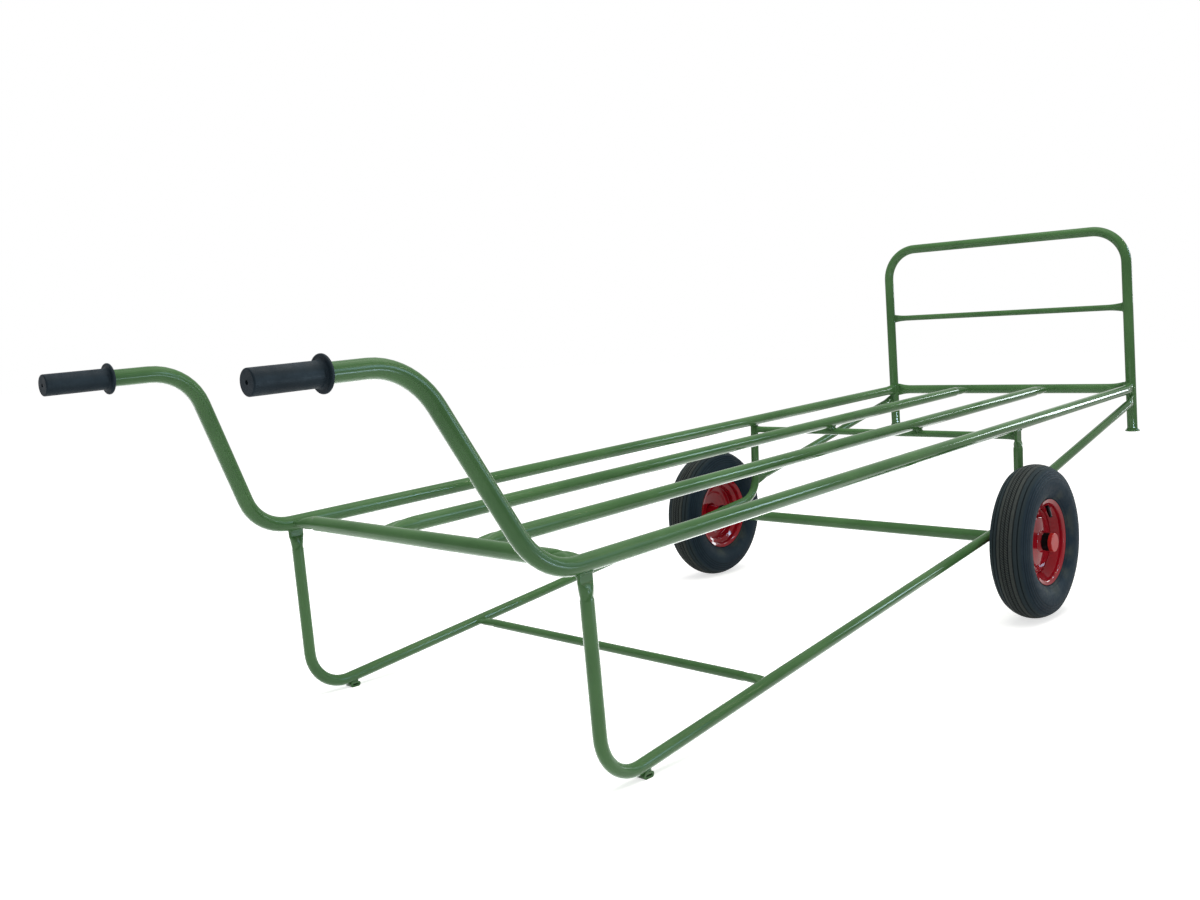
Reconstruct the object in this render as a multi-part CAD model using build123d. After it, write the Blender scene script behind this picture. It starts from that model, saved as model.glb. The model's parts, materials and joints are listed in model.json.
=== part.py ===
from build123d import *
import math
import os

# A flat-bed garden cart of welded tube on two pneumatic wheels.
# Sizes are in millimetres and angles in degrees. Everything is drawn in the frame of the bed:
# X runs forward along the rails from the rear cross tube, Y to the left, Z up from the rails.
# The last section stands the cart on its feet and wheels.

# Tubes
rail_diameter = 32.0
rail_wall = 2.0
leg_diameter = 25.0
leg_wall = 2.0
bar_diameter = 20.0
bar_wall = 2.0
weld_gap = 0.1  # between a coped end and the tube that it is welded to

# Bed
bed_length = 2618.0  # rear cross tube to headboard
side_rail_spacing = 869.0
middle_rail_spacing = 290.0
bearer_drop = 30.0  # bearer below the rails

# Handles
handle_setback = 98.0  # lower bend behind the rear cross tube
handle_rake = 159.0
handle_rise = 353.0
handle_inset = 79.0
handle_reach = 525.5  # grip end behind the rear cross tube
handle_bend_radius = 118.0
grip_length = 119.0
grip_diameter = 39.5
grip_wall = 4.0  # closed end
grip_flange_diameter = 58.0
grip_flange_thickness = 6.0
grip_vent_diameter = 7.0
grip_edge_radius = 2.5
grip_neck_radius = 4.0
grip_fit = 0.1

# Headboard
headboard_height = 530.0  # top of the hoop above the rails, to the tube's centre
headboard_lean = 1.24
headboard_bend_radius = 110.0
headboard_bar_height = 272.0
post_drop = 142.0  # underside of the post feet below the rails
post_foot_diameter = 45.0
post_foot_thickness = 4.0
post_foot_flare = 6.0  # height of the weld round the post
post_foot_shoulder = 3.0  # width of the foot outside that weld
post_foot_edge_radius = 1.2

# Leg frames
leg_offset = 4.5  # outboard of the rail
leg_setback = 8.6  # leg behind the rear cross tube, at the rails
leg_lean = 1.07
strut_position = 1697.5  # strut ahead of the rear cross tube, at the rails
strut_lean = 4.2
chord_depth = 257.0  # chord below the rails, at the axle
chord_rise = 4.61
leg_bend_radius = 85.0
strut_bend_radius = 75.0
tie_bar_position = 476.0
brace_foot_depth = 197.0  # where the brace meets the strut
brace_head_depth = 36.0  # where it meets the post
brace_offset = 3.5  # outboard of the leg frame

# Leg feet, cut from flattened tube
foot_position = 98.0
foot_length = 26.0
foot_height = 11.5
foot_width = 22.0
foot_slot_length = 16.0
foot_slot_height = 3.5
foot_reach = 10.0  # below the underside of the chord

# Crushed tube ends: thickness, length of the taper and length of flat before the weld
crush_fullness = 0.75  # share of the roundness that is back halfway along a taper
cross_crush = 11.0
cross_taper = 48.0
cross_flat = 8.0
middle_taper = 70.0
rail_crush = 23.0
rail_taper = 50.0
leg_crush = 8.0
leg_taper = 30.0
leg_flat = 14.0
strut_taper = 20.0
strut_flat = 2.0  # below the end of the bearer, which sits on the flat of the strut
brace_taper = 44.0
brace_flat = 8.0
bar_crush = 6.0
bar_taper = 46.0
bar_flat = 6.0
bearer_crush = 14.0
bearer_taper = 24.0

# Axle
axle_position = 1568.0
axle_tube_diameter = 32.0
shaft_diameter = 25.0
shaft_fit = 0.05  # radial, in the axle tube and under the washers and caps
running_fit = 0.05  # radial, wheel bushes on the shaft
end_play = 0.5
washer_diameter = 44.0
washer_thickness = 3.0
lock_washer_diameter = 36.0
lock_washer_thickness = 2.0
cap_diameter = 48.0
cap_thickness = 10.0
cap_edge_radius = 2.0
cap_skin = 3.5

# Wheels, measured outboard from their own centre planes
tyre_clearance = 24.5  # between the tyres and the leg frames
wheel_diameter = 400.0
tyre_width = 102.0
tyre_wall = 6.5
tread_thickness = 11.0
tread_width = 82.0
shoulder_drop = 15.0
groove_spacing = 12.5
groove_width = 3.0
groove_depth = 3.0
groove_count = 6
bead_fit = 0.2
bead_inset = 6.0  # heel of the bead inside the rim's edge
bead_width = 8.0
rim_sheet = 2.0
rim_width = 70.0
rim_lip_diameter = 224.0
rim_lip_flare = 3.0
rim_seat_diameter = 202.0  # bead seat, at the middle of the sheet
rim_seat_taper = 1.5
rim_well_diameter = 174.0
rim_slope_start = 23.0  # outboard, where the dish leaves the bead seat
rim_slope_end = 4.0  # outboard, where the dish reaches the well
rim_well_reach = 14.0  # inboard side of the well
rim_well_slope = 4.0
rim_fold_radius = 3.0
disc_sheet = 2.5
disc_flange = 8.0
disc_step_diameter = 124.0
disc_step = 6.0
disc_position = 3.0  # outer field of the disc
disc_crown = 14.0  # inner field of the disc, at its collar
disc_collar = 6.0  # width of the collar round the hub
disc_collar_rise = 7.0
disc_fold_radius = 4.0
hub_diameter = 44.0
hub_wall = 3.0
hub_outer_end = 23.5
hub_inner_end = 27.0
bush_collar_diameter = 47.0
outer_bush_end = 40.0
inner_bush_end = 36.0
bush_depth = 20.0
press_fit = 0.05
valve_turn = 26.0  # round the wheel, from its top
valve_offset = 17.0  # outboard of the wheel's centre plane, at the rim
valve_lean = 25.0  # away from the wheel's plane
valve_diameter = 10.0
valve_length = 24.0  # inside the rim's dish
valve_root = 6.0  # inside the tyre
valve_base_diameter = 12.0
valve_base_thickness = 2.5
valve_cap_diameter = 8.5
valve_cap_length = 8.0

# Places worked out from the sizes
rail_radius = rail_diameter / 2
leg_radius = leg_diameter / 2
bar_radius = bar_diameter / 2
side_y = side_rail_spacing / 2
middle_y = middle_rail_spacing / 2
leg_y = side_y + leg_offset
wheel_y = leg_y + leg_radius + tyre_clearance + tyre_width / 2
chord_slope = math.tan(math.radians(chord_rise))
leg_slope = math.tan(math.radians(leg_lean))
strut_slope = math.tan(math.radians(strut_lean))
post_slope = math.tan(math.radians(headboard_lean))
along_bed = Vector(1, 0, 0)
to_left = Vector(0, 1, 0)
up = Vector(0, 0, 1)
sides = {"left": 1, "right": -1}


def chord_z(x):
    return -chord_depth + chord_slope * (x - axle_position)


def post_point(side, z):
    return Vector(bed_length + post_slope * z, side * side_y, z)


def leg_point(side, z):
    return Vector(-leg_setback - leg_slope * z, side * leg_y, z)


def strut_point(side, z):
    return Vector(strut_position + strut_slope * z, side * leg_y, z)


# Where the lines of leg and strut cross the line of the chord
chord_at_rear = chord_z(0)
leg_corner_z = (chord_at_rear - chord_slope * leg_setback) / (1 + chord_slope * leg_slope)
strut_corner_z = (chord_at_rear + chord_slope * strut_position) / (1 - chord_slope * strut_slope)

# The axle tube touches both chords from below
axle_drop = (leg_diameter + axle_tube_diameter) / 2 + weld_gap
axle = Vector(axle_position, 0, chord_z(axle_position) - axle_drop / math.cos(math.radians(chord_rise)))

# Feet and wheels set how far the bed leans back when the cart stands
foot_drop = leg_radius + foot_reach - foot_height / 2
foot_centre = Vector(foot_position, 0, chord_z(foot_position) - foot_drop)
foot_to_axle = axle - foot_centre
wheel_over_foot = (wheel_diameter - foot_height) / 2
tilt = math.degrees(
    math.asin(wheel_over_foot / foot_to_axle.length) - math.atan2(foot_to_axle.Z, foot_to_axle.X)
)


# Tube work
def path_of(points, radii):
    if len(points) == 2:
        return Line(*points)
    return FilletPolyline(*points, radius=radii)


def tube(points, radii, diameter, wall):
    path = path_of(points, radii)
    ring = Circle(diameter / 2) - Circle(diameter / 2 - wall)
    return sweep(Plane(path @ 0, z_dir=path % 0) * ring, path=path)


def cope(points, radii, diameter):
    """The space that a tube takes up, with the weld gap, to be cut from what meets it."""
    path = path_of(points, radii)
    return sweep(Plane(path @ 0, z_dir=path % 0) * Circle(diameter / 2 + weld_gap), path=path)


def crushed_width(diameter, thickness):
    """Crushing keeps the girth of the tube, so a thinner end is a wider one."""
    return thickness + math.pi * (diameter - thickness) / 2


def crushed_profile(diameter, thickness):
    """Two round edges and two flats."""
    radius = thickness / 2
    reach = crushed_width(diameter, thickness) / 2 - radius
    outline = [
        CenterArc((reach, 0), radius, -90, 180),
        Line((reach, radius), (-reach, radius)),
        CenterArc((-reach, 0), radius, 90, 180),
        Line((-reach, -radius), (reach, -radius)),
    ]
    return make_face(outline)


def round_profile(diameter, thickness):
    """A circle in four arcs, which become the edges and flats of the crushed end."""
    edge_turn = 180 * thickness / diameter
    start = -edge_turn / 2
    arcs = []
    for turn in (edge_turn, 180 - edge_turn) * 2:
        arcs.append(CenterArc((0, 0), diameter / 2, start, turn))
        start += turn
    return make_face(arcs)


def crushed_end(tip, inward, across, diameter, thickness, flat, taper):
    """A flat end at tip that swells to the round tube; across is its wide direction."""

    def section(distance, profile):
        return Plane(tip + inward * distance, x_dir=across, z_dir=inward) * profile

    profile = crushed_profile(diameter, thickness)
    fuller = thickness + (diameter - thickness) * crush_fullness
    swell = [
        section(flat, profile).face(),
        section(flat + taper / 2, crushed_profile(diameter, fuller)).face(),
        section(flat + taper, round_profile(diameter, thickness)).face(),
    ]
    return extrude(section(0, profile), flat) + loft(swell)


def crushed_tube(start, end, across, diameter, wall, thickness, flat, taper):
    """A straight tube with both ends crushed the same way."""
    inward = (end - start).normalized()
    plain = flat + taper
    run = [start + inward * plain, end - inward * plain]
    piece = tube(run, None, diameter, wall)
    piece += crushed_end(start, inward, across, diameter, thickness, flat, taper)
    piece += crushed_end(end, inward * -1, across, diameter, thickness, flat, taper)
    return piece


# Centre lines of the bent tubes, which the pieces welded to them share
def rail_points(side):
    handle_y = side * (side_y - handle_inset)
    return [
        Vector(-handle_reach, handle_y, handle_rise),
        Vector(-handle_setback - handle_rake, handle_y, handle_rise),
        Vector(-handle_setback, side * side_y, 0),
        Vector(bed_length, side * side_y, 0),
    ]


def leg_points(side):
    return [
        leg_point(side, 0),
        leg_point(side, leg_corner_z),
        strut_point(side, strut_corner_z),
        strut_point(side, 0),
    ]


def hoop_points():
    post_end = post_foot_thickness - post_drop
    return [
        post_point(1, post_end),
        post_point(1, headboard_height),
        post_point(-1, headboard_height),
        post_point(-1, post_end),
    ]


rail_bends = [handle_bend_radius, handle_bend_radius]
leg_bends = [leg_bend_radius, strut_bend_radius]
hoop_bends = [headboard_bend_radius, headboard_bend_radius]
rail_copes = {side: cope(rail_points(side), rail_bends, rail_diameter) for side in sides.values()}
leg_copes = {side: cope(leg_points(side), leg_bends, leg_diameter) for side in sides.values()}
hoop_cope = cope(hoop_points(), hoop_bends, rail_diameter)
rear_cross_cope = cope([Vector(0, side_y, 0), Vector(0, -side_y, 0)], None, rail_diameter)
front_cross_cope = cope([Vector(bed_length, side_y, 0), Vector(bed_length, -side_y, 0)], None, rail_diameter)


# Bed
def side_rail(side):
    points = rail_points(side)
    flat = rail_radius + cross_flat
    start = points[0] + along_bed * (grip_wall + grip_fit)
    front = points[-1] - along_bed * (flat + rail_taper)
    piece = tube([start, points[1], points[2], front], rail_bends, rail_diameter, rail_wall)
    piece += crushed_end(points[-1], along_bed * -1, up, rail_diameter, rail_crush, flat, rail_taper)
    return piece - hoop_cope


def middle_rail(side):
    rear = Vector(0, side * middle_y, 0)
    front = Vector(bed_length, side * middle_y, 0)
    flat = rail_radius + cross_flat
    piece = crushed_tube(rear, front, to_left, rail_diameter, rail_wall, cross_crush, flat, middle_taper)
    return piece - rear_cross_cope - front_cross_cope


def rear_cross_tube():
    ends = [Vector(0, side * side_y, 0) for side in sides.values()]
    flat = rail_radius + cross_flat
    piece = crushed_tube(*ends, along_bed, rail_diameter, rail_wall, cross_crush, flat, cross_taper)
    return piece - rail_copes[1] - rail_copes[-1]


def front_cross_tube():
    ends = [post_point(side, 0) for side in sides.values()]
    flat = rail_radius + cross_flat
    piece = crushed_tube(*ends, up, rail_diameter, rail_wall, cross_crush, flat, cross_taper)
    return piece - hoop_cope


def bearer_ends():
    reach = leg_y - leg_crush / 2 - weld_gap
    x = strut_point(1, -bearer_drop).X
    return [Vector(x, side * reach, -bearer_drop) for side in sides.values()]


def bearer_tube():
    return crushed_tube(*bearer_ends(), up, bar_diameter, bar_wall, bearer_crush, bar_flat, bearer_taper)


def bearer_spacers():
    stubs = []
    bearer = cope(bearer_ends(), None, bar_diameter)
    for side in sides.values():
        x = bearer_ends()[0].X
        foot = Vector(x, side * middle_y, -bearer_drop)
        head = Vector(x, side * middle_y, 0)
        rail = cope([head - along_bed * bar_diameter, head + along_bed * bar_diameter], None, rail_diameter)
        stub = extrude(Plane(foot) * Circle(bar_radius), bearer_drop)
        stubs.append((stub - rail - bearer).solid())
    return Compound(stubs)


# Handles
def grip(side):
    outer = grip_diameter / 2
    bore = rail_radius + grip_fit
    flange = grip_flange_diameter / 2
    neck = grip_length - grip_flange_thickness
    profile = make_face(
        Polyline(
            (0, grip_vent_diameter / 2),
            (0, outer),
            (neck, outer),
            (neck, flange),
            (grip_length, flange),
            (grip_length, bore),
            (grip_wall, bore),
            (grip_wall, grip_vent_diameter / 2),
            close=True,
        )
    )
    corner = [v for v in profile.vertices() if v.X == neck and v.Y == outer]
    profile = fillet(corner, grip_neck_radius)
    edges = [v for v in profile.vertices() if v.Y == flange or (v.X == 0 and v.Y == outer)]
    piece = revolve(fillet(edges, grip_edge_radius), Axis.X)
    return Pos(rail_points(side)[0]) * piece


# Headboard
def headboard_hoop():
    return tube(hoop_points(), hoop_bends, rail_diameter, rail_wall)


def headboard_bar():
    ends = [post_point(side, headboard_bar_height) for side in sides.values()]
    flat = rail_radius + bar_flat
    piece = crushed_tube(*ends, up, bar_diameter, bar_wall, bar_crush, flat, bar_taper)
    return piece - hoop_cope


def post_foot(side):
    bottom = post_point(side, -post_drop)
    upward = (post_point(side, 0) - bottom).normalized()
    edge = post_foot_diameter / 2
    bore = rail_radius + weld_gap
    flare_top = post_foot_thickness + post_foot_flare
    profile = make_face(
        Polyline(
            (0, 0),
            (edge, 0),
            (edge, post_foot_thickness),
            (edge - post_foot_shoulder, post_foot_thickness),
            (bore + post_foot_edge_radius, flare_top),
            (bore, flare_top),
            (bore, post_foot_thickness),
            (0, post_foot_thickness),
            close=True,
        )
    )
    rim = [v for v in profile.vertices() if v.X == edge]
    piece = revolve(Plane.XZ * fillet(rim, post_foot_edge_radius), Axis.Z)
    return Plane(bottom, z_dir=upward) * piece


# Leg frames
def leg_frame(side):
    leg_top, leg_corner, strut_corner, strut_top = leg_points(side)
    to_leg = rail_radius + leg_flat
    to_strut = bearer_drop + crushed_width(bar_diameter, bearer_crush) / 2 + strut_flat
    down_leg = (leg_corner - leg_top).normalized()
    down_strut = (strut_corner - strut_top).normalized()
    run = [leg_top + down_leg * (to_leg + leg_taper), leg_corner, strut_corner]
    run.append(strut_top + down_strut * (to_strut + strut_taper))
    piece = tube(run, leg_bends, leg_diameter, leg_wall)
    piece += crushed_end(leg_top, down_leg, along_bed, leg_diameter, leg_crush, to_leg, leg_taper)
    piece += crushed_end(strut_top, down_strut, along_bed, leg_diameter, leg_crush, to_strut, strut_taper)
    return piece - rail_copes[side]


def brace(side):
    outboard = to_left * (side * brace_offset)
    foot = strut_point(side, -brace_foot_depth) + outboard
    head = post_point(side, -brace_head_depth) + outboard + to_left * (side * leg_offset)
    across = (head - foot).cross(to_left)
    flat = rail_radius + brace_flat
    piece = crushed_tube(foot, head, across, leg_diameter, leg_wall, leg_crush, flat, brace_taper)
    return piece - hoop_cope - leg_copes[side]


def leg_tie_bar():
    ends = [Vector(tie_bar_position, side * leg_y, chord_z(tie_bar_position)) for side in sides.values()]
    along_chord = Vector(1, 0, chord_slope)
    flat = leg_radius + bar_flat
    piece = crushed_tube(*ends, along_chord, bar_diameter, bar_wall, bar_crush, flat, bar_taper)
    return piece - leg_copes[1] - leg_copes[-1]


def leg_foot(side):
    profile = SlotOverall(foot_length, foot_height) - SlotOverall(foot_slot_length, foot_slot_height)
    ring = extrude(Plane.XZ * profile, foot_width / 2, both=True)
    return Pos(foot_centre + to_left * (side * leg_y)) * Rot(0, tilt, 0) * ring - leg_copes[side]


# Axle, drawn along Y through the origin and moved to its place
washer_face = wheel_y - inner_bush_end - end_play
axle_tube_end = washer_face - washer_thickness
lock_face = wheel_y + outer_bush_end + end_play
cap_end = lock_face + cap_thickness
shaft_end = cap_end - cap_skin
shaft_hole = shaft_diameter / 2 + shaft_fit


def ring_along_y(outer_radius, inner_radius, start, end):
    profile = Circle(outer_radius) - Circle(inner_radius)
    return extrude(Plane(to_left * start, z_dir=to_left) * profile, end - start)


def axle_tube():
    piece = ring_along_y(axle_tube_diameter / 2, shaft_hole, -axle_tube_end, axle_tube_end)
    return Pos(axle) * piece


def axle_shaft():
    profile = Plane(to_left * -shaft_end, z_dir=to_left) * Circle(shaft_diameter / 2)
    return Pos(axle) * extrude(profile, 2 * shaft_end)


def axle_washer(side):
    piece = ring_along_y(washer_diameter / 2, shaft_hole, axle_tube_end, washer_face)
    return Pos(axle) * turned(piece, side)


def lock_washer(side):
    piece = ring_along_y(lock_washer_diameter / 2, shaft_hole, lock_face, lock_face + lock_washer_thickness)
    return Pos(axle) * turned(piece, side)


def axle_cap(side):
    radius = cap_diameter / 2
    seat = lock_washer_diameter / 2 + shaft_fit
    ledge = lock_face + lock_washer_thickness + shaft_fit
    profile = make_face(
        Polyline(
            (0, cap_end),
            (radius, cap_end),
            (radius, lock_face),
            (seat, lock_face),
            (seat, ledge),
            (shaft_hole, ledge),
            (shaft_hole, shaft_end + shaft_fit),
            (0, shaft_end + shaft_fit),
            close=True,
        )
    )
    rim = [v for v in profile.vertices() if v.X == radius and v.Y == cap_end]
    return Pos(axle) * turned(revolve(fillet(rim, cap_edge_radius), Axis.Y), side)


# Wheels, drawn about Y with the outboard side at plus Y and moved to their places
def turned(piece, side):
    return piece if side > 0 else Rot(0, 0, 180) * piece


def on_axle(piece, side):
    return Pos(axle + to_left * (side * wheel_y)) * turned(piece, side)


def rim_profile():
    """The middle line of the rim's sheet, from its outboard lip to its inboard lip."""
    lip = (rim_lip_diameter - rim_sheet) / 2
    seat = rim_seat_diameter / 2
    well = rim_well_diameter / 2
    edge = (rim_width - rim_sheet) / 2
    return FilletPolyline(
        (lip, edge),
        (seat, edge - rim_lip_flare),
        (seat - rim_seat_taper, rim_slope_start),
        (well, rim_slope_end),
        (well, -rim_well_reach),
        (seat - rim_seat_taper, -rim_well_reach - rim_well_slope),
        (seat, rim_lip_flare - edge),
        (lip, -edge),
        radius=rim_fold_radius,
    )


def rim(side):
    piece = revolve(trace(rim_profile(), rim_sheet), Axis.Y)
    return on_axle(piece - valve_hole(), side)


def tyre_profile():
    """A horseshoe section: beads on the rim, bulged walls and a crowned tread."""
    seat = (rim_seat_diameter + rim_sheet) / 2 + bead_fit
    lip = rim_lip_diameter / 2 + bead_fit
    heel = rim_width / 2 - bead_inset
    toe = heel - bead_width
    wall_foot = (lip, heel + rim_lip_flare)
    crown = wheel_diameter / 2
    shoulder = (crown - shoulder_drop, tread_width / 2)
    widest = ((lip + shoulder[0]) / 2, tyre_width / 2)
    inner_shoulder = (shoulder[0] - tyre_wall / 2, shoulder[1] - tyre_wall)
    inner_wall = (widest[0], widest[1] - tyre_wall)
    outside = [
        Line((seat, toe), (seat, heel)),
        Line((seat, heel), wall_foot),
        ThreePointArc(wall_foot, widest, shoulder),
    ]
    inside = [
        Line((seat, toe), (lip, toe)),
        Line((lip, toe), inner_wall),
        Line(inner_wall, inner_shoulder),
    ]
    half = outside + inside
    other = [mirror(edge, Plane.XZ) for edge in half]
    tread = ThreePointArc(shoulder, (crown, 0), (shoulder[0], -shoulder[1]))
    other_shoulder = (inner_shoulder[0], -inner_shoulder[1])
    liner = ThreePointArc(inner_shoulder, (crown - tread_thickness, 0), other_shoulder)
    return make_face(half + other + [tread, liner])


def tyre(side):
    profile = tyre_profile()
    crown = wheel_diameter / 2
    drop_per_square = shoulder_drop / (tread_width / 2) ** 2
    for i in range(groove_count):
        offset = groove_spacing * (i - (groove_count - 1) / 2)
        floor = crown - drop_per_square * offset ** 2 - groove_depth
        slot = Rectangle(crown - floor, groove_width, align=(Align.MIN, Align.CENTER))
        profile -= Pos(floor, offset) * slot
    return on_axle(revolve(profile, Axis.Y), side)


def wheel_disc(side):
    edge = rim_well_diameter / 2 - rim_sheet / 2 - disc_sheet / 2 - press_fit
    step = disc_step_diameter / 2
    bore = hub_diameter / 2 + press_fit
    line = FilletPolyline(
        (edge, disc_position - disc_flange),
        (edge, disc_position),
        (step + disc_step, disc_position),
        (step, disc_position + disc_step),
        (bore + disc_collar, disc_crown),
        (bore, disc_crown + disc_collar_rise),
        radius=disc_fold_radius,
    )
    sheet = revolve(trace(line, disc_sheet), Axis.Y)
    hub_space = ring_along_y(bore, bore / 2, -rim_width, rim_width)
    return on_axle(sheet - hub_space, side)


def hub(side):
    piece = ring_along_y(hub_diameter / 2, hub_diameter / 2 - hub_wall, -hub_inner_end, hub_outer_end)
    return on_axle(piece, side)


def bush(hub_end, collar_end):
    """A bush that fills one end of the hub, with its collar against the hub's end."""
    bore = shaft_diameter / 2 + running_fit
    body = hub_diameter / 2 - hub_wall - press_fit
    inside = ring_along_y(body, bore, hub_end - bush_depth, hub_end + press_fit)
    return inside + ring_along_y(bush_collar_diameter / 2, bore, hub_end + press_fit, collar_end)


def outer_bush(side):
    return on_axle(bush(hub_outer_end, outer_bush_end), side)


def inner_bush(side):
    return on_axle(mirror(bush(hub_inner_end, inner_bush_end), Plane.XZ), side)


# Valve, near the top of the wheel, through the slope of the rim's dish
def at_valve(piece):
    """Moves a piece to the rim, with its Z down the valve towards the valve's cap."""
    lean = math.radians(valve_lean)
    seat = rim_seat_diameter / 2 - rim_seat_taper
    well = rim_well_diameter / 2
    up_slope = (valve_offset - rim_slope_end) / (rim_slope_start - rim_slope_end)
    root = Vector(0, valve_offset, well + (seat - well) * up_slope)
    plane = Plane(root, z_dir=Vector(0, math.sin(lean), -math.cos(lean)))
    return Rot(0, -valve_turn, 0) * (plane * piece)


def valve_hole():
    return at_valve(Cylinder(valve_diameter / 2 + press_fit, 2 * valve_root))


def valve_stem(side):
    stem = Pos(0, 0, -valve_root) * extrude(Circle(valve_diameter / 2), valve_root + valve_length)
    base = Pos(0, 0, -valve_root) * extrude(Circle(valve_base_diameter / 2), valve_base_thickness)
    return on_axle(at_valve(stem + base), side)


def valve_cap(side):
    cap = extrude(Circle(valve_cap_diameter / 2), valve_cap_length)
    return on_axle(at_valve(Pos(0, 0, valve_length + press_fit) * cap), side)


# One piece of each, then the pieces that come in pairs
pieces = {
    "rear_cross_tube": rear_cross_tube(),
    "front_cross_tube": front_cross_tube(),
    "bearer_tube": bearer_tube(),
    "bearer_spacers": bearer_spacers(),
    "headboard_hoop": headboard_hoop(),
    "headboard_bar": headboard_bar(),
    "leg_tie_bar": leg_tie_bar(),
    "axle_tube": axle_tube(),
    "axle_shaft": axle_shaft(),
}
pairs = {
    "side_rail": side_rail,
    "middle_rail": middle_rail,
    "grip": grip,
    "post_foot": post_foot,
    "leg_frame": leg_frame,
    "brace": brace,
    "leg_foot": leg_foot,
    "axle_washer": axle_washer,
    "lock_washer": lock_washer,
    "axle_cap": axle_cap,
    "tyre": tyre,
    "rim": rim,
    "wheel_disc": wheel_disc,
    "hub": hub,
    "outer_bush": outer_bush,
    "inner_bush": inner_bush,
    "valve_stem": valve_stem,
    "valve_cap": valve_cap,
}
for name, make in pairs.items():
    for word, side in sides.items():
        pieces[f"{word}_{name}"] = make(side)

# Stand the cart on its feet and wheels, with the origin under the middle of its box
level = Rot(0, -tilt, 0)
box = Compound([level * piece for piece in pieces.values()]).bounding_box()
stand = Pos(-box.center().X, -box.center().Y, -box.min.Z) * level
os.makedirs("parts", exist_ok=True)
for name, piece in pieces.items():
    export_step(stand * piece, f"parts/{name}.step")
print(f"{len(pieces)} nodes, {box.size.X:.1f} x {box.size.Y:.1f} x {box.size.Z:.1f} mm, bed tilt {tilt:.2f}")
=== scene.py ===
import bpy
import json
import math
import numpy as np
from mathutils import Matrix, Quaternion, Vector

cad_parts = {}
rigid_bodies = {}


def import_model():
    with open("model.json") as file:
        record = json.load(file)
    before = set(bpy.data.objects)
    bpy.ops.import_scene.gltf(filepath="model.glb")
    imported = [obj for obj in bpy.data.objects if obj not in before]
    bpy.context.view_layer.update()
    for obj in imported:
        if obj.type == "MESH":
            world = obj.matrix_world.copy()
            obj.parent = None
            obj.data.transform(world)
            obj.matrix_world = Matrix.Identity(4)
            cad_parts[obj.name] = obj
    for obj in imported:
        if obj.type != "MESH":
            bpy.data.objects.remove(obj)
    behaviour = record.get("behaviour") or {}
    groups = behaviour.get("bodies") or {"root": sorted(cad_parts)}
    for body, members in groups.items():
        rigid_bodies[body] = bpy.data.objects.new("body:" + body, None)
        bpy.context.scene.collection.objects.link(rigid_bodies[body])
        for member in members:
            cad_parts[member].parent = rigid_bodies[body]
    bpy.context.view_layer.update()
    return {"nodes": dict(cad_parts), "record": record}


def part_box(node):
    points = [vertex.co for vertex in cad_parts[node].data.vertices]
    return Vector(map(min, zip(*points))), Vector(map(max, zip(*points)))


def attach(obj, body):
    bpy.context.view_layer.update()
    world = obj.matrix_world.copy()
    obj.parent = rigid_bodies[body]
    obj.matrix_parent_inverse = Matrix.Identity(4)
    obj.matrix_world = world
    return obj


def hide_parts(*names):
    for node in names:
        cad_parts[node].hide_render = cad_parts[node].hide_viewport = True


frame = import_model()
nodes = frame["nodes"]


# Places read from the frame, all in metres

def middle(node):
    low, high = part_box(node)
    return (np.array(low) + np.array(high)) / 2


def extent(node):
    low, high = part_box(node)
    return np.array(high) - np.array(low)


def unit(v):
    v = np.asarray(v, float)
    return v / np.linalg.norm(v, axis=-1, keepdims=True)


axle = middle("axle_shaft")
bedOrigin = middle("rear_cross_tube")
forward = unit(middle("front_cross_tube") - bedOrigin)  # along the rails
leftward = np.array((0.0, 1.0, 0.0))
upward = np.cross(forward, leftward)  # square to the bed
bedLength = float(np.dot(middle("front_cross_tube") - bedOrigin, forward))
railRadius = float(extent("rear_cross_tube")[2]) / 2
legRadius = float(extent("left_leg_frame")[1]) / 2
barRadius = float(extent("headboard_bar")[0]) / 2
axleRadius = float(extent("axle_tube")[2]) / 2
sideY = float(np.array(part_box("left_side_rail")[1])[1]) - railRadius
legY = float(middle("left_leg_frame")[1])
middleY = float(middle("left_middle_rail")[1])


def onBed(x, y, z):
    return bedOrigin + x * forward + y * leftward + z * upward


# Shader maths: a Wire is one socket, and arithmetic on it adds Math nodes

class Wire:
    def __init__(self, tree, socket=None):
        self.tree = tree
        self.socket = socket

    def node(self, kind, settings=None, inputs=None, out=0):
        made = self.tree.nodes.new(kind)
        for name, value in (settings or {}).items():
            setattr(made, name, value)
        for name, value in (inputs or {}).items():
            if isinstance(value, Wire):
                self.tree.links.new(value.socket, made.inputs[name])
            else:
                made.inputs[name].default_value = value
        return Wire(self.tree, made.outputs[out] if made.outputs else None)

    def maths(self, operation, *values):
        return self.node("ShaderNodeMath", {"operation": operation}, dict(enumerate(values)))

    def __add__(self, other):
        return self.maths("ADD", self, other)

    def __radd__(self, other):
        return self.maths("ADD", other, self)

    def __sub__(self, other):
        return self.maths("SUBTRACT", self, other)

    def __rsub__(self, other):
        return self.maths("SUBTRACT", other, self)

    def __mul__(self, other):
        return self.maths("MULTIPLY", self, other)

    def __rmul__(self, other):
        return self.maths("MULTIPLY", other, self)


def newMaterial(name):
    made = bpy.data.materials.new(name)
    made.use_nodes = True
    made.node_tree.nodes.clear()
    return made, Wire(made.node_tree)


def linear(level):
    # an sRGB level of 255 as the linear value that shaders take
    share = level / 255
    return share / 12.92 if share < 0.04045 else ((share + 0.055) / 1.055) ** 2.4


def colourOf(*levels):
    return tuple(linear(level) for level in levels) + (1.0,)


def noise(wire, where, scale, detail):
    return wire.node("ShaderNodeTexNoise", {}, {"Vector": where, "Scale": scale, "Detail": detail})


def mixColour(wire, factor, a, b):
    return wire.node("ShaderNodeMix", {"data_type": "RGBA"}, {0: factor, 6: a, 7: b}, 2)


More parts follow.
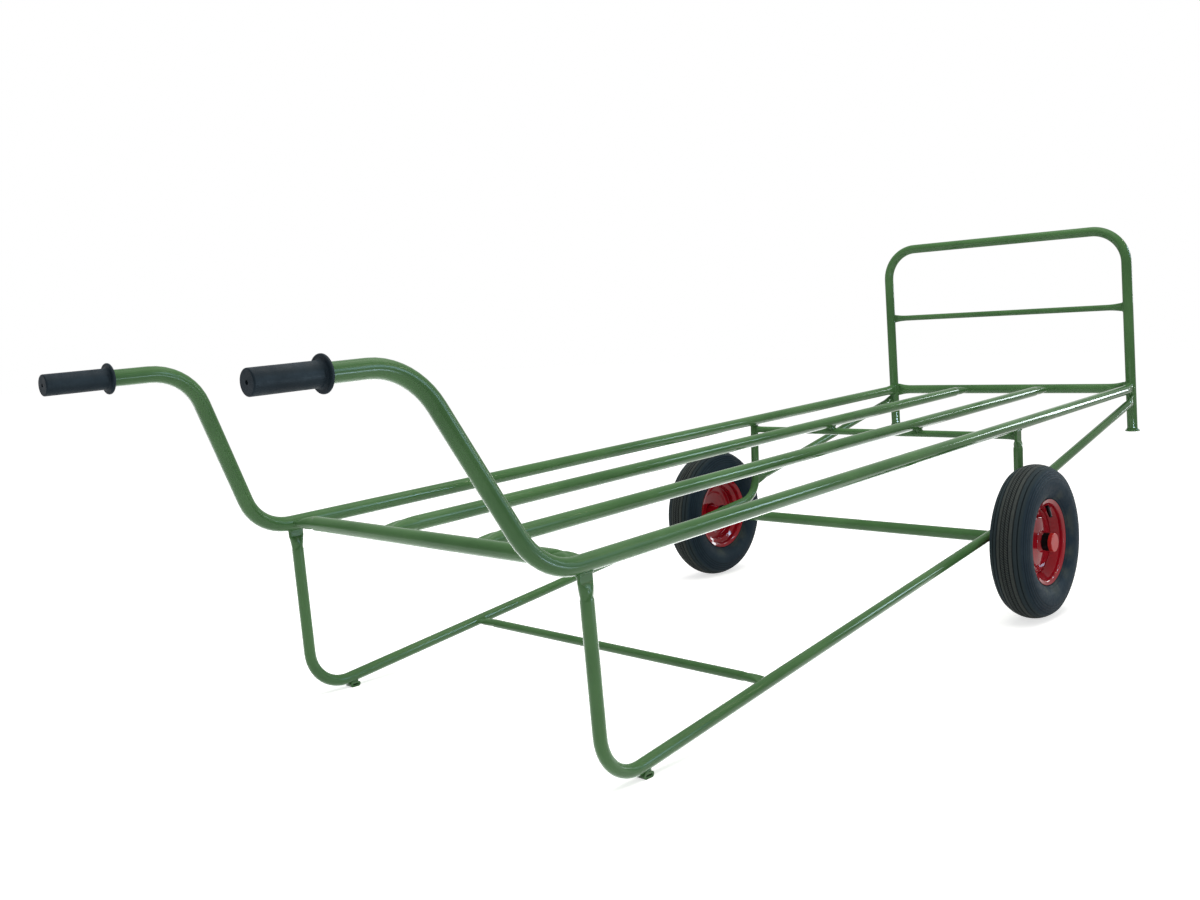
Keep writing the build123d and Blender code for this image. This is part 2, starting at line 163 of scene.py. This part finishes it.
def rangeOf(wire, value, low, high, toLow=0.0, toHigh=1.0):
    # a smooth step from low to high
    kind = {"interpolation_type": "SMOOTHSTEP"}
    return wire.node("ShaderNodeMapRange", kind, {0: value, 1: low, 2: high, 3: toLow, 4: toHigh})


def bumpOf(wire, height, strength, distance):
    return wire.node("ShaderNodeBump", {}, {"Height": height, "Strength": strength, "Distance": distance})


def surface(made, wire, sockets):
    shader = wire.node("ShaderNodeBsdfPrincipled", {}, sockets)
    wire.node("ShaderNodeOutputMaterial", {}, {"Surface": shader})
    return made


# Finishes: a noise is given as scale and detail, a span as the values where its smooth step starts and ends

# Gloss enamel: slow drift of tone, fine orange peel, a few duller patches
framePaint = dict(
    light=colourOf(80, 119, 74), dark=colourOf(69, 107, 65), roughness=(0.035, 0.06),
    specular=0.07, peel=0.002)
wheelPaint = dict(
    light=colourOf(166, 22, 37), dark=colourOf(145, 14, 28), roughness=(0.04, 0.07),
    specular=0.15, peel=0.003)
capPlastic = dict(
    light=colourOf(192, 48, 45), dark=colourOf(178, 40, 38), roughness=(0.3, 0.42),
    specular=0.15, peel=0.03)
enamelGrain = dict(
    tone=(6.0, 3.0), toneSpan=(0.3, 0.7), dull=(45.0, 4.0), dullSpan=(0.35, 0.75),
    peel=(260.0, 2.0), peelDepth=0.001)
handling = dict(reach=(-0.9, -0.6), dulling=0.19)  # hands dull the gloss from the bends to the grips


def enamel(name, look):
    made, wire = newMaterial(name)
    grain = enamelGrain
    where = wire.node("ShaderNodeTexCoord", out="Object")
    tone = rangeOf(wire, noise(wire, where, *grain["tone"]), *grain["toneSpan"])
    dull = rangeOf(wire, noise(wire, where, *grain["dull"]), *grain["dullSpan"], *look["roughness"])
    peel = noise(wire, where, *grain["peel"])
    along = wire.node("ShaderNodeSeparateXYZ", {}, {"Vector": where}, 0)
    handled = rangeOf(wire, along, *handling["reach"], handling["dulling"], 0.0)
    return surface(made, wire, {
        "Base Color": mixColour(wire, tone, look["dark"], look["light"]),
        "Roughness": dull + handled,
        "Specular IOR Level": look["specular"],
        "Normal": bumpOf(wire, peel, look["peel"], grain["peelDepth"])})


# Moulded rubber and plastic: faint bloom on a dark ground, fine matt grain
gripRubber = dict(
    light=colourOf(38, 50, 59), dark=colourOf(29, 40, 48), roughness=(0.42, 0.55),
    specular=0.07, grain=0.15)
bushPlastic = dict(
    light=colourOf(22, 22, 24), dark=colourOf(12, 12, 13), roughness=(0.3, 0.45),
    specular=0.1, grain=0.06)
valveRubber = dict(
    light=colourOf(24, 24, 25), dark=colourOf(13, 13, 14), roughness=(0.4, 0.55),
    specular=0.1, grain=0.1)
mouldedGrain = dict(
    bloom=(26.0, 4.0), bloomSpan=(0.35, 0.7), rough=(80.0, 3.0), roughSpan=(0.3, 0.7),
    fine=(1400.0, 2.0), fineDepth=0.0006)


def moulded(name, look):
    made, wire = newMaterial(name)
    grain = mouldedGrain
    where = wire.node("ShaderNodeTexCoord", out="Object")
    bloom = rangeOf(wire, noise(wire, where, *grain["bloom"]), *grain["bloomSpan"])
    rough = rangeOf(wire, noise(wire, where, *grain["rough"]), *grain["roughSpan"], *look["roughness"])
    fine = noise(wire, where, *grain["fine"])
    return surface(made, wire, {
        "Base Color": mixColour(wire, bloom, look["dark"], look["light"]),
        "Roughness": rough,
        "Specular IOR Level": look["specular"],
        "Normal": bumpOf(wire, fine, look["grain"], grain["fineDepth"])})


# Turned steel: fine rings round the shaft, a little staining that also dulls it
shaftSteel = dict(
    bright=colourOf(196, 198, 202), dull=colourOf(150, 152, 156), roughness=0.28, stainRoughness=0.15,
    stain=(70.0, 4.0), stainSpan=(0.35, 0.75), ringScale=900.0, ringWobble=1.0, ringBump=0.05,
    ringDepth=0.0003)


def turnedSteel(name, look):
    made, wire = newMaterial(name)
    where = wire.node("ShaderNodeTexCoord", out="Object")
    stain = rangeOf(wire, noise(wire, where, *look["stain"]), *look["stainSpan"])
    rings = wire.node("ShaderNodeTexWave", {"bands_direction": "Y"},
                      {"Vector": where, "Scale": look["ringScale"], "Distortion": look["ringWobble"]}, 1)
    return surface(made, wire, {
        "Base Color": mixColour(wire, stain, look["bright"], look["dull"]),
        "Roughness": look["roughness"] + look["stainRoughness"] * stain,
        "Metallic": 1.0,
        "Normal": bumpOf(wire, rings, look["ringBump"], look["ringDepth"])})


# Tyre rubber: blue-black walls, grey worn ribs, dust by the rim, and painted shade darkening the grooves, the
# cut rings and the slanting sipes;
# reaches are radii in metres, and the sipe's edge is in shares of its pitch
tyreRubber = dict(
    wall=colourOf(29, 43, 54), bloom=colourOf(36, 50, 60), tread=colourOf(45, 55, 59),
    worn=colourOf(68, 72, 70), grooveShade=colourOf(18, 24, 27), rimDust=colourOf(70, 75, 66),
    roughness=(0.5, 0.66), specular=0.04, sipePitch=0.0066, sipeSlant=0.8, sipeEdge=(0.27, 0.45),
    cloud=(14.0, 5.0), bloomSpan=(0.35, 0.7), speck=(160.0, 3.0), speckSpan=(0.3, 0.7),
    treadReach=(0.183, 0.191), wornSpan=(0.25, 0.6), wornShare=(0.4, 0.9),
    dustReach=(0.118, 0.148), dustSpan=(0.45, 0.62), dustShare=0.55, grooveShadeShare=0.7, sipeShadeShare=0.8,
    grain=(1100.0, 2.0), grainShare=0.2, bump=0.4, bumpDepth=0.0007)


def tyreFinish(name, look):
    made, wire = newMaterial(name)
    where = wire.node("ShaderNodeTexCoord", out="Object")
    radius, grooveShade, siped, worn = (
        wire.node("ShaderNodeAttribute", {"attribute_name": mark}, out="Fac")
        for mark in ("radius", "grooveShade", "siped", "worn"))
    unrolled = wire.node("ShaderNodeUVMap", {"uv_map": "unrolled"})
    along, across = (wire.node("ShaderNodeSeparateXYZ", {}, {"Vector": unrolled}, axis) for axis in (0, 1))
    cloud = noise(wire, where, *look["cloud"])
    speck = noise(wire, where, *look["speck"])
    # straight cuts slanting over the middle ribs, told by the unrolled length and width
    phase = (along + across * look["sipeSlant"]) * (1.0 / look["sipePitch"])
    saw = phase.maths("FRACT", phase)
    sipe = (1.0 - rangeOf(wire, saw, *look["sipeEdge"])) * siped
    dusty = (1.0 - rangeOf(wire, radius, *look["dustReach"])) * rangeOf(wire, cloud, *look["dustSpan"])
    layers = (  # from the wall's own colour upwards
        ("bloom", rangeOf(wire, cloud, *look["bloomSpan"])),
        ("tread", rangeOf(wire, radius, *look["treadReach"])),
        ("worn", worn * rangeOf(wire, speck, *look["wornSpan"], *look["wornShare"])),
        ("rimDust", dusty * look["dustShare"]),
        # painted shade: the grooves, the cut rings and the sipes are darkened in colour
        ("grooveShade", grooveShade * look["grooveShadeShare"]),
        ("grooveShade", sipe * look["sipeShadeShare"]))
    colour = look["wall"]
    for layer, share in layers:
        colour = mixColour(wire, share, colour, look[layer])
    height = noise(wire, where, *look["grain"]) * look["grainShare"] - sipe
    return surface(made, wire, {
        "Base Color": colour,
        "Roughness": rangeOf(wire, speck, *look["speckSpan"], *look["roughness"]),
        "Specular IOR Level": look["specular"],
        "Normal": bumpOf(wire, height, look["bump"], look["bumpDepth"])})


finishes = {
    "frame_green": enamel("framePaint", framePaint),
    "wheel_red": enamel("wheelPaint", wheelPaint),
    "cap_red": enamel("capPlastic", capPlastic),
    "tyre": tyreFinish("tyreRubber", tyreRubber),
    "grip": moulded("gripRubber", gripRubber),
    "bush": moulded("bushPlastic", bushPlastic),
    "valve": moulded("valveRubber", valveRubber),
    "steel": turnedSteel("shaftSteel", shaftSteel),
}
for part in frame["record"]["subparts"]:
    node = nodes[part["node"]]
    node.data.materials.clear()
    node.data.materials.append(finishes[part["material_slot"]])
print("finishes:", ", ".join(finishes))


# New pieces: grids of points, closed both ways, put into a mesh with outward faces

def gridFaces(rows, columns):
    # quads between each row and the next, both directions wrapping round
    index = np.arange(rows * columns).reshape(rows, columns)
    right = np.roll(index, -1, 1)
    return np.stack((index, right, np.roll(right, -1, 0), np.roll(index, -1, 0)), -1).reshape(-1, 4)


def outward(points, faces):
    # the signed volume of the shell tells whether its faces point in or out
    a, b, c, d = (points[faces[:, k]] for k in range(4))
    volume = np.sum(np.cross(a, b) * c) + np.sum(np.cross(a, c) * d)
    return faces if volume > 0 else faces[:, ::-1]


def addPiece(name, points, faces, slot, body):
    mesh = bpy.data.meshes.new(name)
    mesh.from_pydata(points, [], faces)
    mesh.shade_smooth()
    mesh.materials.append(finishes[slot])
    piece = bpy.data.objects.new(name, mesh)
    bpy.context.scene.collection.objects.link(piece)
    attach(piece, body)
    return piece


# Tyres: crown radius and width come from the frame. Points are radius and distance from the middle plane,
# rings are place up the wall and height, where a ring below zero is cut in
tyreShape = dict(
    beadRadius=0.1022, beadHeel=0.029, beadToe=0.021, wallFoot=(0.1122, 0.032), shoulder=(0.185, 0.041),
    liner=((0.1122, 0.021), (0.1486, 0.0465), (0.1815, 0.0345), (0.189, 0.0)),
    grooves=7, groovePitch=0.0102, grooveWidth=0.0024, grooveDepth=0.003, grooveEdge=0.0009,
    sipedRibs=2, wornRibs=4, ribEdge=0.0008,
    rings=((0.05, 0.0009), (0.15, 0.0004), (0.70, -0.0005), (0.78, -0.0006), (0.87, -0.0008),
           (0.95, -0.0010)),
    ringWidth=0.016, ringOrigin=0.06, wallSlack=0.0003, turns=200, treadSteps=150, wallSteps=84)


def arcThrough(a, b, c, steps):
    # circle through three points, walked from a to c by way of b
    a, b, c = (np.array(p, float) for p in (a, b, c))
    system = 2 * np.array((b - a, c - a))
    centre = np.linalg.solve(system, np.array((b @ b - a @ a, c @ c - a @ a)))
    angles = [math.atan2(*(p - centre)[::-1]) for p in (a, b, c)]
    angles = np.unwrap(angles)
    turn = np.linspace(angles[0], angles[2], steps)
    return centre + np.hypot(*(a - centre)) * np.stack((np.cos(turn), np.sin(turn)), -1)


def pulse(x, centre, width, edge):
    # 1 inside the width round a centre, 0 outside, with soft edges
    return np.clip((width / 2 + edge / 2 - np.abs(x - centre)) / edge, 0, 1)


def tyreSection(shape, crown, halfWidth):
    # from one bead up the bulged wall with its rings, over the grooved tread, down the mirrored wall
    # to the other bead, and back inside along a plain liner
    foot, shoulder = shape["wallFoot"], shape["shoulder"]
    # the arc swells a little past its middle, so the middle keeps some slack
    widest = ((foot[0] + shoulder[0]) / 2, halfWidth - shape["wallSlack"])
    wall = arcThrough(foot, widest, shoulder, shape["wallSteps"])
    share = np.linspace(0, 1, len(wall))
    ring = [np.exp(-((share - place) / shape["ringWidth"]) ** 2) for place, _ in shape["rings"]]
    swell = sum(height * bump for bump, (_, height) in zip(ring, shape["rings"]))
    cut = sum(bump for bump, (_, height) in zip(ring, shape["rings"]) if height < 0)
    # rings rise away from a point inside the wall
    bulge = unit(wall - np.array((widest[0], widest[1] - shape["ringOrigin"])))
    wall = wall + bulge * swell[:, None]
    tread = arcThrough(shoulder, (crown, 0.0), (shoulder[0], -shoulder[1]), shape["treadSteps"])
    offsets = shape["groovePitch"] * (np.arange(shape["grooves"]) - (shape["grooves"] - 1) / 2)
    depth = sum(pulse(tread[:, 1], offset, shape["grooveWidth"], shape["grooveEdge"]) for offset in offsets)
    siped, worn = (
        pulse(tread[:, 1], 0.0, shape["groovePitch"] * shape[ribs], shape["ribEdge"])
        for ribs in ("sipedRibs", "wornRibs"))
    tread = tread - np.stack((depth * shape["grooveDepth"], 0 * depth), -1)
    bead = np.array(((shape["beadRadius"], shape["beadToe"]), (shape["beadRadius"], shape["beadHeel"])))
    liner = np.array(shape["liner"])
    flip = np.array((1.0, -1.0))
    section = np.concatenate((bead, wall, tread[1:-1], wall[::-1] * flip, bead[::-1] * flip,
                              liner[:-1] * flip, liner[::-1]))
    # what the tyre's finish reads at each point
    ends = np.zeros(len(bead))
    inside = np.zeros(len(bead) + 2 * len(liner) - 1)
    # the grooves and cut rings, where the finish paints shade into the colour
    grooveShade = np.concatenate((ends, cut, depth[1:-1], cut[::-1], inside))
    siped, worn = (np.concatenate((ends, 0 * cut, mark[1:-1], 0 * cut, inside)) for mark in (siped, worn))
    return section, {"radius": section[:, 0], "grooveShade": grooveShade, "siped": siped, "worn": worn}


def addTyre(side, shape):
    node = side + "_tyre"
    low, high = (np.array(corner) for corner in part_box(node))
    centre = (low + high) / 2
    crown = (high - low)[2] / 2
    section, marks = tyreSection(shape, crown, (high - low)[1] / 2)
    angle = np.linspace(0, 2 * np.pi, shape["turns"], endpoint=False)[:, None]
    radius, across = section[:, 0], section[:, 1]
    points = np.stack((radius * np.cos(angle), across + 0 * angle, radius * np.sin(angle)), -1) + centre
    rows, columns = points.shape[:2]
    points = points.reshape(-1, 3)
    faces = outward(points, gridFaces(rows, columns))
    piece = addPiece(side + "_tyre_tread", points, faces, "tyre", side + "_wheel")
    mesh = piece.data
    for name, values in marks.items():
        mesh.attributes.new(name, "FLOAT", "POINT").data.foreach_set("value", np.tile(values, rows))
    # unrolled map in metres: u along the tread, v across it; the faces that close the ring end at a full turn
    corner = np.zeros(len(mesh.loops), int)
    mesh.loops.foreach_get("vertex_index", corner)
    corner = corner.reshape(-1, 4)
    row = corner // columns
    row = np.where((row == 0) & (row.max(1, keepdims=True) == rows - 1), rows, row)
    u = row * (2 * np.pi * crown / rows)
    v = across[corner % columns]
    mesh.uv_layers.new(name="unrolled").data.foreach_set("uv", np.stack((u, v), -1).ravel())
    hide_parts(node)


for side in ("left", "right"):
    addTyre(side, tyreShape)
print("tyres:", tyreShape["turns"], "steps round")


# Weld beads: a rippled bead follows the outline of a crushed tube end where it meets the next tube
weld = dict(
    size=0.0026, ripple=0.16, ripplePitch=0.0042, around=9, spacing=0.0011, endSteps=40, fewestSteps=24)
crush = dict(  # diameter and crushed thickness
    cross=(0.032, 0.011), leg=(0.025, 0.008), bar=(0.020, 0.006), bearer=(0.020, 0.014),
    rail=(0.032, 0.023))
joints = dict(  # along the bed from the rear cross tube, below or above the rails, leans in degrees
    legX=-0.0086, legLean=1.07, strutX=1.6975, strutLean=4.2, tieX=0.476, footX=0.098, axleX=1.568,
    chordDepth=0.257, chordRise=4.61, bearerDrop=0.030, postLean=1.24, barHeight=0.272,
    braceFoot=0.197, braceHead=0.036, braceOut=0.0035,
    axleHalves=(0.0095, 0.007), footHalves=(0.0105, 0.0085),  # half length and half width of these outlines
    flatRadius=5.0)  # the flat of the strut, as a very large cylinder


def crushedHalves(kind):
    # a crushed end keeps the girth of its tube
    diameter, thickness = crush[kind]
    return (thickness + math.pi * (diameter - thickness) / 2) / 2, thickness / 2


def slotOutline(halfLong, halfWide):
    # two half circles joined by straight runs, sampled at even steps of its own length
    straight = halfLong - halfWide
    turn = np.linspace(-np.pi / 2, np.pi / 2, weld["endSteps"])
    right = np.stack((straight + halfWide * np.cos(turn), halfWide * np.sin(turn)), -1)
    loop = np.concatenate((right, -right, right[:1]))
    length = np.concatenate(([0], np.cumsum(np.hypot(*np.diff(loop, axis=0).T))))
    steps = max(weld["fewestSteps"], int(length[-1] / weld["spacing"]))
    at = np.linspace(0, length[-1], steps, endpoint=False)
    return np.stack([np.interp(at, length, loop[:, k]) for k in (0, 1)], -1), at


def weldBead(halves, place, away, wide, tubePoint, tubeAlong, tubeRadius):
    # outline points slide along the end's own direction until they lie on the next tube's surface,
    # then a small circle is carried along that closed line, swelling in ripples
    outline, at = slotOutline(*halves)
    away, tubeAlong = unit(away), unit(tubeAlong)
    wide = unit(wide - away * np.dot(wide, away))
    thin = np.cross(away, wide)
    start = place + outline[:, :1] * wide + outline[:, 1:] * thin - tubePoint
    flatStart = start - (start @ tubeAlong)[:, None] * tubeAlong
    flatAway = away - np.dot(away, tubeAlong) * tubeAlong
    a = flatAway @ flatAway
    b = flatStart @ flatAway
    c = np.sum(flatStart ** 2, 1) - tubeRadius ** 2
    slide = (-b + np.sqrt(np.maximum(b * b - a * c, 0))) / a  # how far each point goes to meet the tube
    line = start + slide[:, None] * away
    radial = unit(line - (line @ tubeAlong)[:, None] * tubeAlong)
    along = unit(np.roll(line, -1, 0) - np.roll(line, 1, 0))
    sideways = unit(np.cross(along, radial))
    lift = np.cross(sideways, along)
    size = weld["size"] * (1 + weld["ripple"] * np.cos(2 * np.pi * at / weld["ripplePitch"]))
    turn = np.linspace(0, 2 * np.pi, weld["around"], endpoint=False)
    ring = np.cos(turn)[None, :, None] * sideways[:, None] + np.sin(turn)[None, :, None] * lift[:, None]
    return line[:, None] + tubePoint + size[:, None, None] * ring


def bedWelds(side, shape):
    s = 1 if side == "left" else -1
    inward = -s * leftward
    ends = ("cross", "leg", "bar", "bearer", "rail")
    cross, leg, bar, bearer, rail = (crushedHalves(kind) for kind in ends)

    def tilted(degrees):
        return unit(upward + math.tan(math.radians(degrees)) * forward)

    def chord(x):
        rise = math.tan(math.radians(shape["chordRise"])) * (x - shape["axleX"])
        return onBed(x, s * legY, rise - shape["chordDepth"])

    chordAlong = unit(chord(1) - chord(0))
    post, legLine, strut = tilted(shape["postLean"]), tilted(-shape["legLean"]), tilted(shape["strutLean"])
    postFoot = onBed(bedLength, s * sideY, 0)
    legTop, strutTop = onBed(shape["legX"], s * legY, 0), onBed(shape["strutX"], s * legY, 0)
    rearEnd, frontEnd = onBed(0, s * middleY, 0), onBed(bedLength, s * middleY, 0)
    railRear, railAtLeg = onBed(0, s * sideY, 0), onBed(shape["legX"], s * sideY, 0)
    railAtStrut = onBed(shape["strutX"], s * sideY, 0)
    barAt = postFoot + post * shape["barHeight"]
    tieAt, footAt = chord(shape["tieX"]), chord(shape["footX"])
    axleAt = np.array((axle[0], s * legY, axle[2]))
    braceFoot = strutTop - strut * shape["braceFoot"] + s * leftward * shape["braceOut"]
    braceHead = postFoot - post * shape["braceHead"] + s * leftward * (shape["braceOut"] + legY - sideY)
    braceAlong = unit(braceHead - braceFoot)
    braceWide = np.cross(braceAlong, leftward)
    bearerX = shape["strutX"] - math.tan(math.radians(shape["strutLean"])) * shape["bearerDrop"]
    bearerAt = onBed(bearerX, s * middleY, -shape["bearerDrop"])
    spacerTop = onBed(bearerX, s * middleY, 0)
    bearerEnd = onBed(bearerX, s * (legY - crush["leg"][1] / 2), -shape["bearerDrop"])
    flat = shape["flatRadius"]
    stub = (barRadius, barRadius)
    beads = (  # outline, place, way out and width of an end, then point, direction and radius of the next tube
        (cross, railRear, inward, forward, railRear, forward, railRadius),  # rear cross tube to side rail
        (cross, rearEnd, forward, leftward, rearEnd, leftward, railRadius),  # middle rail to rear cross tube
        (cross, frontEnd, -forward, leftward, frontEnd, leftward, railRadius),  # and to the front one
        (cross, postFoot, inward, upward, postFoot, post, railRadius),  # front cross tube to post
        (rail, postFoot, -forward, upward, postFoot, post, railRadius),  # side rail to post
        (bar, barAt, inward, upward, barAt, post, railRadius),  # headboard bar to post
        (leg, legTop, -legLine, forward, railAtLeg, forward, railRadius),  # leg to side rail
        (leg, strutTop, -strut, forward, railAtStrut, forward, railRadius),  # strut to side rail
        (bar, tieAt, inward, chordAlong, tieAt, chordAlong, legRadius),  # tie bar to chord
        (leg, braceFoot, braceAlong, braceWide, strutTop, strut, legRadius),  # brace to strut
        (leg, braceHead, -braceAlong, braceWide, postFoot, post, railRadius),  # brace to post
        (stub, spacerTop, -upward, forward, spacerTop, forward, railRadius),  # spacer to middle rail
        (stub, bearerAt, upward, forward, bearerAt, leftward, barRadius),  # spacer to bearer
        (bearer, bearerEnd, inward, upward, bearerEnd - inward * flat, upward, flat),  # bearer to strut
        (shape["axleHalves"], axleAt, upward, leftward, axleAt, leftward, axleRadius),  # chord to axle tube
        (shape["footHalves"], footAt, -upward, chordAlong, footAt, chordAlong, legRadius),  # foot to chord
    )
    return [weldBead(*bead) for bead in beads]


def addWelds(shape):
    points, faces, count = [], [], 0
    for bead in bedWelds("left", shape) + bedWelds("right", shape):
        rows, columns = bead.shape[:2]
        flat = bead.reshape(-1, 3)
        points.append(flat)
        faces.append(outward(flat - flat.mean(0), gridFaces(rows, columns)) + count)
        count += len(flat)
    addPiece("weld_beads", np.concatenate(points), np.concatenate(faces), "frame_green", "frame")
    print("welds:", len(points), "beads,", count, "points")


addWelds(joints)


def stand(thing, place, aim, roll=0.0):
    # puts a camera or lamp in the scene, looking from its place to its aim and rolled by degrees
    level = (aim - place).to_track_quat("-Z", "Y")
    thing.location = place
    thing.rotation_mode = "QUATERNION"
    thing.rotation_quaternion = level @ Quaternion((0, 0, 1), math.radians(roll))
    bpy.context.scene.collection.objects.link(thing)


# Camera, fitted to the tube lines of the photograph; places are from the middle of the axle
camera = dict(
    place=(-2.87865, -1.71548, 0.53640), aim=(-0.70560, 0.35097, 0.44917), roll=-2.118,
    sensor=36.0, focal=33.521, shift=-0.0551, clip=(0.05, 200.0))


def addCamera(look):
    lens = bpy.data.cameras.new("photoCamera")
    lens.sensor_width = look["sensor"]
    lens.lens = look["focal"]
    lens.shift_y = look["shift"]
    lens.clip_start, lens.clip_end = look["clip"]
    made = bpy.data.objects.new("photoCamera", lens)
    place, aim = (Vector(axle + np.array(look[key])) for key in ("place", "aim"))
    stand(made, place, aim, look["roll"])
    bpy.context.scene.camera = made


addCamera(camera)


# Studio: a wide white floor in a white room
studio = dict(white=(1, 1, 1, 1), floorSize=80.0, floorShade=0.82, floorGlow=0.67, roomGlow=0.42)


def seenRays(wire):
    # camera, glossy and transmission rays see the white background itself
    outputs = wire.node("ShaderNodeLightPath").socket.node.outputs
    cameraRay, glossyRay, throughRay = (
        Wire(wire.tree, outputs["Is " + kind + " Ray"]) for kind in ("Camera", "Glossy", "Transmission"))
    return cameraRay.maths("MAXIMUM", cameraRay, glossyRay.maths("MAXIMUM", glossyRay, throughRay))


def addFloor(look):
    half = look["floorSize"] / 2
    corners = [(-half, -half, 0), (half, -half, 0), (half, half, 0), (-half, half, 0)]
    mesh = bpy.data.meshes.new("floor")
    mesh.from_pydata(corners, [], [(0, 1, 2, 3)])
    floor = bpy.data.objects.new("floor", mesh)
    bpy.context.scene.collection.objects.link(floor)
    made, wire = newMaterial("floorPaper")
    grey = look["floorShade"]
    strength = seenRays(wire) * look["floorGlow"]
    paper = wire.node("ShaderNodeBsdfDiffuse", {}, {"Color": (grey, grey, grey, 1)})
    glow = wire.node("ShaderNodeEmission", {}, {"Color": look["white"], "Strength": strength})
    both = wire.node("ShaderNodeAddShader", {}, {0: paper, 1: glow})
    wire.node("ShaderNodeOutputMaterial", {}, {"Surface": both})
    mesh.materials.append(made)


def addRoom(look):
    world = bpy.data.worlds.new("room")
    bpy.context.scene.world = world
    world.use_nodes = True
    world.node_tree.nodes.clear()
    wire = Wire(world.node_tree)
    strength = look["roomGlow"] + (1.0 - look["roomGlow"]) * seenRays(wire)
    back = wire.node("ShaderNodeBackground", {}, {"Color": look["white"], "Strength": strength})
    wire.node("ShaderNodeOutputWorld", {}, {"Surface": back})


# Lamps: a soft box overhead lights the object, and the others show only in its gloss
lamps = (
    dict(name="overheadSoftbox", place=(0.0, -0.5, 4.5), aim=(-0.1, 0, 0.4), size=(5.0, 3.5), power=170,
         tint=(1.0, 0.98, 0.92), diffuse=True),
    dict(name="ceilingTube", place=(3.4, -4.6, 5.2), aim=(-0.6, 0.2, 0.4), size=(3.0, 0.14), power=65,
         tint=(1.0, 0.97, 0.72), diffuse=False),
    dict(name="frontWindow", place=(19.3, -7.3, 4.7), aim=(0, 0, 0.5), size=(1.75, 7.0), power=840,
         tint=(0.86, 0.97, 1.0), diffuse=False),
    dict(name="middleWindow", place=(15.0, -10.6, 7.9), aim=(0, 0, 0.5), size=(1.75, 4.2), power=680,
         tint=(0.62, 0.86, 1.0), diffuse=False),
    dict(name="rearWindow", place=(10.2, -15.3, 6.9), aim=(0, 0, 0.5), size=(2.4, 6.0), power=2100,
         tint=(0.5, 0.75, 1.0), diffuse=False),
    dict(name="floorGlare", place=(0.35, -2.72, 0.03), aim=(0.46, -2.44, 1.03), size=(1.4, 0.25), power=185,
         tint=(0.6, 0.82, 1.0), diffuse=False),
    dict(name="floorSheen", place=(-1.6, 0, 0.002), aim=(-1.6, 0, 1), size=(7.0, 6.0), power=390,
         tint=(0.95, 0.98, 1.0), diffuse=False, only="frame_green"),  # only on pieces with this finish
)


def addLamp(look):
    data = bpy.data.lights.new(look["name"], "AREA")
    data.shape = "RECTANGLE"
    data.size, data.size_y = look["size"]
    data.energy = look["power"]
    data.color = look["tint"]
    lamp = bpy.data.objects.new(look["name"], data)
    stand(lamp, Vector(look["place"]), Vector(look["aim"]))
    lamp.visible_camera = False
    lamp.visible_diffuse = look["diffuse"]
    if "only" in look:
        shownOn = bpy.data.collections.new(look["name"])
        for piece in bpy.context.scene.objects:
            if piece.type == "MESH" and finishes[look["only"]].name in piece.data.materials:
                shownOn.objects.link(piece)
        lamp.light_linking.receiver_collection = shownOn


addFloor(studio)
addRoom(studio)
for look in lamps:
    addLamp(look)
bpy.context.scene.view_settings.view_transform = "Standard"
print("studio:", len(lamps), "lamps")
